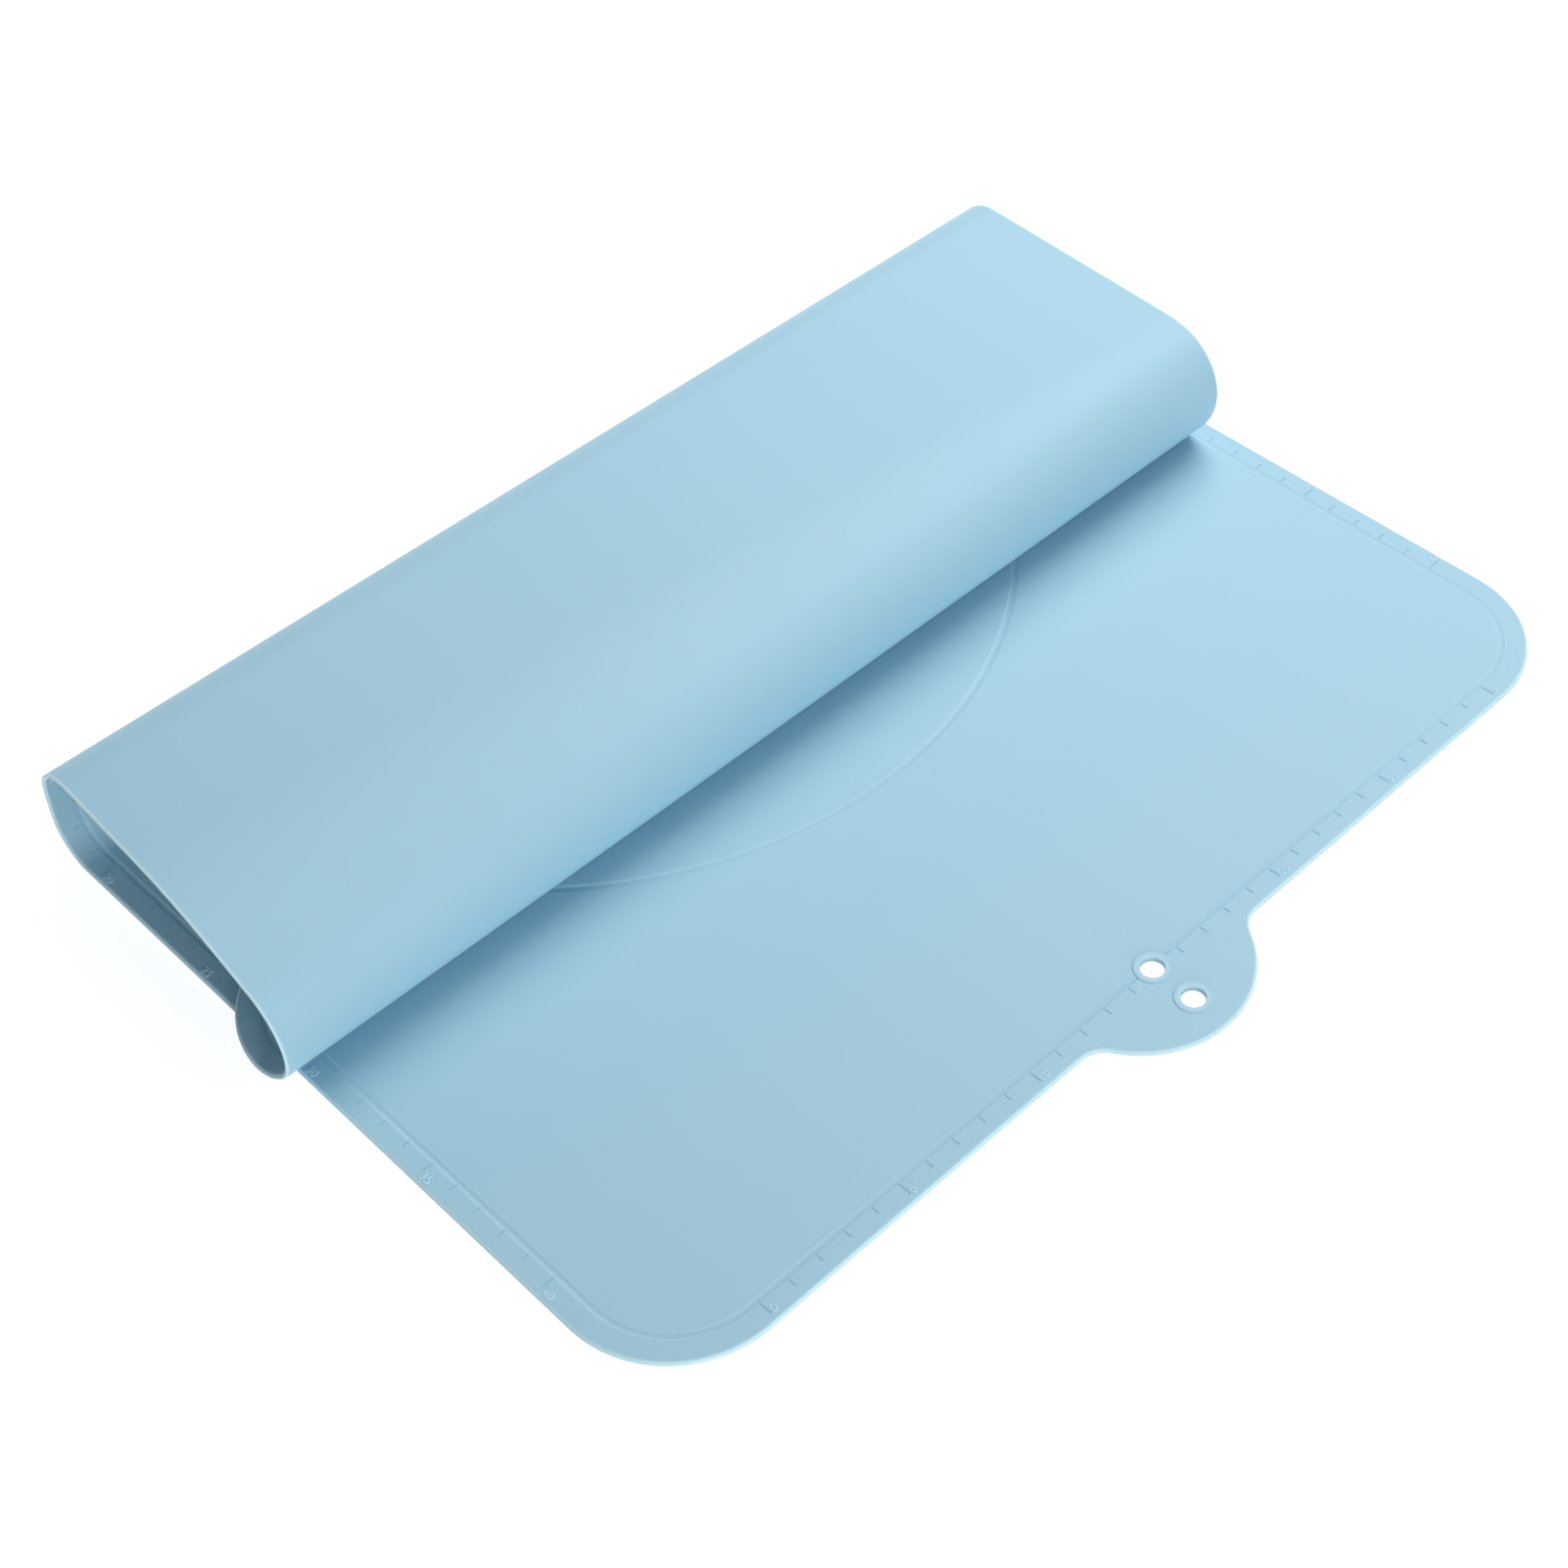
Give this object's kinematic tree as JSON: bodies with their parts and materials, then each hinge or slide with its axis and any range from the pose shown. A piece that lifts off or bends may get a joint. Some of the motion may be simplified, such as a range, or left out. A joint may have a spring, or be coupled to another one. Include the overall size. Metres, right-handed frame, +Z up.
{
  "type": "silicone baking mat",
  "caption": "Thin silicone baking mat with rounded corners, a ruler frame, a circle guide and a hanging tab, folded over in a loose roll that opens flat.",
  "frame": {"origin": "the middle of the mat as it lies flat, on its underside, a few millimetres inside the edge where the sheet starts to fold up", "axes": "+Z up out of the printed face, +X along the mat towards the hanging tab, +Y across the mat along the roll"},
  "size_m": [0.2881, 0.385, 0.0471],
  "materials": {
    "silicone": "matte"
  },
  "bodies": {
    "base": {"base_panel": "silicone", "hang_tab": "silicone"},
    "back_fold_strip_01": {"back_fold_strip_01": "silicone"},
    "back_fold_strip_02": {"back_fold_strip_02": "silicone"},
    "back_fold_strip_03": {"back_fold_strip_03": "silicone"},
    "back_fold_strip_04": {"back_fold_strip_04": "silicone"},
    "back_fold_strip_05": {"back_fold_strip_05": "silicone"},
    "back_fold_strip_06": {"back_fold_strip_06": "silicone"},
    "flap_panel": {"flap_panel": "silicone"},
    "front_roll_strip_01": {"front_roll_strip_01": "silicone"},
    "front_roll_strip_02": {"front_roll_strip_02": "silicone"},
    "front_roll_strip_03": {"front_roll_strip_03": "silicone"},
    "front_roll_strip_04": {"front_roll_strip_04": "silicone"},
    "front_roll_strip_05": {"front_roll_strip_05": "silicone"},
    "front_roll_strip_06": {"front_roll_strip_06": "silicone"},
    "tucked_end": {"tucked_end": "silicone"}
  },
  "joints": [
    {"name": "unroll", "type": "hinge", "parent": "base", "child": "back_fold_strip_01", "pos_m": [-0.00292, 0, 0], "axis": [-0.0296, -0.9996, 0], "range_deg": [0, 32]},
    {"name": "back_fold_crease_02", "type": "hinge", "parent": "back_fold_strip_01", "child": "back_fold_strip_02", "pos_m": [-0.01041, -0.00004, 0.00468], "axis": [-0.0214, -0.9998, -0.0052], "range_deg": [0, 32]},
    {"name": "back_fold_crease_03", "type": "hinge", "parent": "back_fold_strip_02", "child": "back_fold_strip_03", "pos_m": [-0.01428, -0.00017, 0.01262], "axis": [-0.0171, -0.9998, -0.0139], "range_deg": [0, 32]},
    {"name": "back_fold_crease_04", "type": "hinge", "parent": "back_fold_strip_03", "child": "back_fold_strip_04", "pos_m": [-0.01315, -0.00045, 0.02344], "axis": [-0.0165, -0.9998, -0.0084], "range_deg": [0, 7]},
    {"name": "back_fold_crease_05", "type": "hinge", "parent": "back_fold_strip_04", "child": "back_fold_strip_05", "pos_m": [-0.01073, -0.00075, 0.03396], "axis": [-0.0134, -0.9999, 0.0052], "range_deg": [0, 25.67]},
    {"name": "back_fold_crease_06", "type": "hinge", "parent": "back_fold_strip_05", "child": "back_fold_strip_06", "pos_m": [-0.00532, -0.00105, 0.04072], "axis": [-0.009, -0.9999, 0.0107], "range_deg": [0, 25.67]},
    {"name": "back_fold_crease_07", "type": "hinge", "parent": "back_fold_strip_06", "child": "flap_panel", "pos_m": [0.00248, -0.00139, 0.04448], "axis": [-0.0026, -0.9999, 0.0138], "range_deg": [0, 25.67]},
    {"name": "front_roll_crease_01", "type": "hinge", "parent": "flap_panel", "child": "front_roll_strip_01", "pos_m": [0.07674, -0.00484, 0.04452], "axis": [-0.0812, -0.9966, 0.0137], "range_deg": [0, 14]},
    {"name": "front_roll_crease_02", "type": "hinge", "parent": "front_roll_strip_01", "child": "front_roll_strip_02", "pos_m": [0.1003, -0.00599, 0.03866], "axis": [-0.0011, -1, -0.0062], "range_deg": [0, 25.2]},
    {"name": "front_roll_crease_03", "type": "hinge", "parent": "front_roll_strip_02", "child": "front_roll_strip_03", "pos_m": [0.10698, -0.00637, 0.03321], "axis": [-0.0045, -1, -0.0035], "range_deg": [0, 25.2]},
    {"name": "front_roll_crease_04", "type": "hinge", "parent": "front_roll_strip_03", "child": "front_roll_strip_04", "pos_m": [0.11071, -0.00674, 0.02544], "axis": [-0.0063, -1, 0.0005], "range_deg": [0, 25.2]},
    {"name": "front_roll_crease_05", "type": "hinge", "parent": "front_roll_strip_04", "child": "front_roll_strip_05", "pos_m": [0.11078, -0.00708, 0.01683], "axis": [-0.0064, -1, 0.0048], "range_deg": [0, 25.2]},
    {"name": "front_roll_crease_06", "type": "hinge", "parent": "front_roll_strip_05", "child": "front_roll_strip_06", "pos_m": [0.10716, -0.00739, 0.009], "axis": [-0.0045, -1, 0.0088], "range_deg": [0, 25.2]},
    {"name": "front_roll_crease_07", "type": "hinge", "parent": "front_roll_strip_06", "child": "tucked_end", "pos_m": [0.09889, -0.00774, 0.00205], "axis": [-0.015, -0.9999, 0], "range_deg": [0, 40.04]}
  ],
  "couplings": [
    {"joint": "back_fold_crease_02", "follows": "unroll", "ratio": 1},
    {"joint": "back_fold_crease_03", "follows": "unroll", "ratio": 1},
    {"joint": "back_fold_crease_04", "follows": "unroll", "ratio": 0.21875},
    {"joint": "back_fold_crease_05", "follows": "unroll", "ratio": 0.80208},
    {"joint": "back_fold_crease_06", "follows": "unroll", "ratio": 0.80208},
    {"joint": "back_fold_crease_07", "follows": "unroll", "ratio": 0.80208},
    {"joint": "front_roll_crease_01", "follows": "unroll", "ratio": 0.4375},
    {"joint": "front_roll_crease_02", "follows": "unroll", "ratio": 0.7875},
    {"joint": "front_roll_crease_03", "follows": "unroll", "ratio": 0.7875},
    {"joint": "front_roll_crease_04", "follows": "unroll", "ratio": 0.7875},
    {"joint": "front_roll_crease_05", "follows": "unroll", "ratio": 0.7875},
    {"joint": "front_roll_crease_06", "follows": "unroll", "ratio": 0.7875},
    {"joint": "front_roll_crease_07", "follows": "unroll", "ratio": 1.2514}
  ]
}
